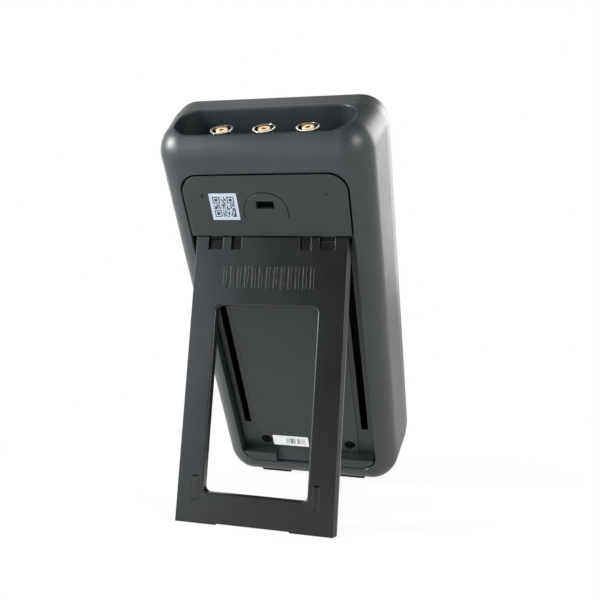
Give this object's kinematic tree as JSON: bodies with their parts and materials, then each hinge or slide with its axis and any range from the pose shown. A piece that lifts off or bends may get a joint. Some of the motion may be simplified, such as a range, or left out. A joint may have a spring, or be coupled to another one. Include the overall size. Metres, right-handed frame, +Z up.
{
  "type": "handheld test meter",
  "caption": "Handheld oscilloscope meter leaning back on a swing-out kickstand, with a well of BNC sockets at the top end, keys, display and test-lead sockets.",
  "frame": {"origin": "on the floor, below the middle of the standing meter", "axes": "+Z up, +Y towards the kickstand at the rear, +X to the right seen from the front"},
  "size_m": [0.096, 0.1414, 0.1799],
  "materials": {
    "case_plastic": "fine matte moulded texture",
    "stand_plastic": "smooth satin moulding",
    "foot_rubber": "matte",
    "mat_rubber": "matte",
    "key_plastic": "satin",
    "screw_steel": "blackened",
    "nickel_plate": "nickel plate",
    "insulator_plastic": "satin",
    "gold_plate": "gold plate",
    "socket_brass": "plain",
    "collar_plastic": "satin",
    "label_paper": "matte",
    "window_plastic": "clear gloss",
    "panel_glass": "dark panel",
    "inner_plastic": "plain",
    "board_laminate": "solder mask",
    "sheet_steel": "tin plate",
    "cell_jacket": "shrink sleeve",
    "fuse_glass": "clear"
  },
  "bodies": {
    "case": {"battery_cell_1": "cell_jacket", "battery_cell_2": "cell_jacket", "battery_contact_high": "sheet_steel", "battery_contact_low": "sheet_steel", "bnc_body_1": "nickel_plate", "bnc_body_2": "nickel_plate", "bnc_body_3": "nickel_plate", "bnc_contact_1": "gold_plate", "bnc_contact_2": "gold_plate", "bnc_contact_3": "gold_plate", "bnc_insulator_1": "insulator_plastic", "bnc_insulator_2": "insulator_plastic", "bnc_insulator_3": "insulator_plastic", "bnc_nuts": "nickel_plate", "bottom_feet": "foot_rubber", "buzzer": "inner_plastic", "case_screws": "screw_steel", "code_label": "label_paper", "cover_screws": "screw_steel", "display_frame": "inner_plastic", "display_panel": "panel_glass", "display_window": "window_plastic", "front_shell": "case_plastic", "fuse_clips": "socket_brass", "fuses": "fuse_glass", "input_board": "board_laminate", "keypad_mat": "mat_rubber", "main_board": "board_laminate", "rear_cover": "case_plastic", "rear_shell": "case_plastic", "serial_label": "label_paper", "shield_can": "sheet_steel", "socket_collar_1": "collar_plastic", "socket_collar_2": "collar_plastic", "socket_collar_3": "collar_plastic", "socket_collar_4": "collar_plastic", "socket_sleeve_1": "socket_brass", "socket_sleeve_2": "socket_brass", "socket_sleeve_3": "socket_brass", "socket_sleeve_4": "socket_brass", "usb_socket": "sheet_steel"},
    "stand": {"kickstand": "stand_plastic", "hinge_pins": "screw_steel"},
    "arrow_key_down_body": {"arrow_key_down": "key_plastic"},
    "arrow_key_left_body": {"arrow_key_left": "key_plastic"},
    "arrow_key_right_body": {"arrow_key_right": "key_plastic"},
    "arrow_key_up_body": {"arrow_key_up": "key_plastic"},
    "enter_key_body": {"enter_key": "key_plastic"},
    "hold_key_body": {"hold_key": "key_plastic"},
    "mode_key_1_body": {"mode_key_1": "key_plastic"},
    "mode_key_2_body": {"mode_key_2": "key_plastic"},
    "mode_key_3_body": {"mode_key_3": "key_plastic"},
    "mode_key_4_body": {"mode_key_4": "key_plastic"},
    "mode_key_5_body": {"mode_key_5": "key_plastic"},
    "mode_key_6_body": {"mode_key_6": "key_plastic"},
    "power_key_body": {"power_key": "key_plastic"},
    "soft_key_1_body": {"soft_key_1": "key_plastic"},
    "soft_key_2_body": {"soft_key_2": "key_plastic"},
    "soft_key_3_body": {"soft_key_3": "key_plastic"},
    "soft_key_4_body": {"soft_key_4": "key_plastic"}
  },
  "joints": [
    {"name": "stand_hinge", "type": "hinge", "parent": "case", "child": "stand", "pos_m": [0, 0.04531, 0.1195], "axis": [1, 0, 0], "range_deg": [-42.6, 0]},
    {"name": "arrow_key_down_press", "type": "slide", "parent": "case", "child": "arrow_key_down_body", "axis": [0, 0.8111, -0.585], "range_m": [0, 0.0008], "stiffness_N_per_m": 1500},
    {"name": "arrow_key_left_press", "type": "slide", "parent": "case", "child": "arrow_key_left_body", "axis": [0, 0.8111, -0.585], "range_m": [0, 0.0008], "stiffness_N_per_m": 1500},
    {"name": "arrow_key_right_press", "type": "slide", "parent": "case", "child": "arrow_key_right_body", "axis": [0, 0.8111, -0.585], "range_m": [0, 0.0008], "stiffness_N_per_m": 1500},
    {"name": "arrow_key_up_press", "type": "slide", "parent": "case", "child": "arrow_key_up_body", "axis": [0, 0.8111, -0.585], "range_m": [0, 0.0008], "stiffness_N_per_m": 1500},
    {"name": "enter_key_press", "type": "slide", "parent": "case", "child": "enter_key_body", "axis": [0, 0.8111, -0.585], "range_m": [0, 0.0008], "stiffness_N_per_m": 1500},
    {"name": "hold_key_press", "type": "slide", "parent": "case", "child": "hold_key_body", "axis": [0, 0.8111, -0.585], "range_m": [0, 0.0008], "stiffness_N_per_m": 1500},
    {"name": "mode_key_1_press", "type": "slide", "parent": "case", "child": "mode_key_1_body", "axis": [0, 0.8111, -0.585], "range_m": [0, 0.0008], "stiffness_N_per_m": 1500},
    {"name": "mode_key_2_press", "type": "slide", "parent": "case", "child": "mode_key_2_body", "axis": [0, 0.8111, -0.585], "range_m": [0, 0.0008], "stiffness_N_per_m": 1500},
    {"name": "mode_key_3_press", "type": "slide", "parent": "case", "child": "mode_key_3_body", "axis": [0, 0.8111, -0.585], "range_m": [0, 0.0008], "stiffness_N_per_m": 1500},
    {"name": "mode_key_4_press", "type": "slide", "parent": "case", "child": "mode_key_4_body", "axis": [0, 0.8111, -0.585], "range_m": [0, 0.0008], "stiffness_N_per_m": 1500},
    {"name": "mode_key_5_press", "type": "slide", "parent": "case", "child": "mode_key_5_body", "axis": [0, 0.8111, -0.585], "range_m": [0, 0.0008], "stiffness_N_per_m": 1500},
    {"name": "mode_key_6_press", "type": "slide", "parent": "case", "child": "mode_key_6_body", "axis": [0, 0.8111, -0.585], "range_m": [0, 0.0008], "stiffness_N_per_m": 1500},
    {"name": "power_key_press", "type": "slide", "parent": "case", "child": "power_key_body", "axis": [0, 0.8111, -0.585], "range_m": [0, 0.0008], "stiffness_N_per_m": 1500},
    {"name": "soft_key_1_press", "type": "slide", "parent": "case", "child": "soft_key_1_body", "axis": [0, 0.8111, -0.585], "range_m": [0, 0.0008], "stiffness_N_per_m": 1500},
    {"name": "soft_key_2_press", "type": "slide", "parent": "case", "child": "soft_key_2_body", "axis": [0, 0.8111, -0.585], "range_m": [0, 0.0008], "stiffness_N_per_m": 1500},
    {"name": "soft_key_3_press", "type": "slide", "parent": "case", "child": "soft_key_3_body", "axis": [0, 0.8111, -0.585], "range_m": [0, 0.0008], "stiffness_N_per_m": 1500},
    {"name": "soft_key_4_press", "type": "slide", "parent": "case", "child": "soft_key_4_body", "axis": [0, 0.8111, -0.585], "range_m": [0, 0.0008], "stiffness_N_per_m": 1500}
  ]
}
